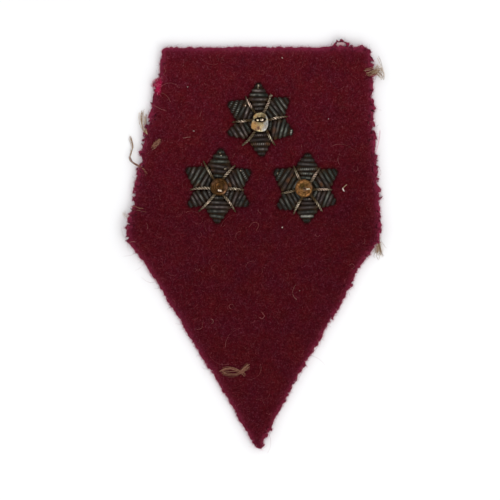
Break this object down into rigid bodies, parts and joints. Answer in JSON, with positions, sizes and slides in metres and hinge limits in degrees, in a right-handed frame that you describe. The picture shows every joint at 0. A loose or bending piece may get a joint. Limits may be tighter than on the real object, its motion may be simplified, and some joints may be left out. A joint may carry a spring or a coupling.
{
  "type": "military collar tab insignia",
  "caption": "Five-sided crimson felt collar tab with a long point, frayed cut edges and six-pointed padded stars of tarnished metal purl with gilt sequins.",
  "frame": {"origin": "on the surface that the tab lies on, under the middle of its box", "axes": "+Z out of the tab's face, +Y from the point towards the straight top edge, +X to the right as the face is seen"},
  "size_m": [0.0456, 0.073, 0.0034],
  "materials": {
    "crimson_felt": "milled wool felt, matt and slightly napped, with brighter frayed cut edges",
    "tarnished_purl": "fine coiled silver-plated wire, tarnished grey-green with dark brown gaps",
    "bright_purl": "twisted silver wire, still bright",
    "gilt_sequin": "thin gilt brass, dulled to orange",
    "worn_sequin": "thin gilt brass worn to pale silver"
  },
  "bodies": {
    "root": {"felt_tab": "crimson_felt", "star_top_ray_1": "tarnished_purl", "star_top_ray_2": "tarnished_purl", "star_top_ray_3": "tarnished_purl", "star_top_ray_4": "tarnished_purl", "star_top_ray_5": "tarnished_purl", "star_top_ray_6": "tarnished_purl", "star_top_wire_1": "bright_purl", "star_top_wire_2": "bright_purl", "star_top_wire_3": "bright_purl", "star_top_wire_4": "bright_purl", "star_top_wire_5": "bright_purl", "star_top_wire_6": "bright_purl", "star_top_boss": "worn_sequin", "star_top_bead": "bright_purl", "star_left_ray_1": "tarnished_purl", "star_left_ray_2": "tarnished_purl", "star_left_ray_3": "tarnished_purl", "star_left_ray_4": "tarnished_purl", "star_left_ray_5": "tarnished_purl", "star_left_ray_6": "tarnished_purl", "star_left_wire_1": "bright_purl", "star_left_wire_2": "bright_purl", "star_left_wire_3": "bright_purl", "star_left_wire_4": "bright_purl", "star_left_wire_5": "bright_purl", "star_left_wire_6": "bright_purl", "star_left_boss": "gilt_sequin", "star_left_bead": "bright_purl", "star_right_ray_1": "tarnished_purl", "star_right_ray_2": "tarnished_purl", "star_right_ray_3": "tarnished_purl", "star_right_ray_4": "tarnished_purl", "star_right_ray_5": "tarnished_purl", "star_right_ray_6": "tarnished_purl", "star_right_wire_1": "bright_purl", "star_right_wire_2": "bright_purl", "star_right_wire_3": "bright_purl", "star_right_wire_4": "bright_purl", "star_right_wire_5": "bright_purl", "star_right_wire_6": "bright_purl", "star_right_boss": "gilt_sequin", "star_right_bead": "bright_purl"}
  },
  "joints": []
}
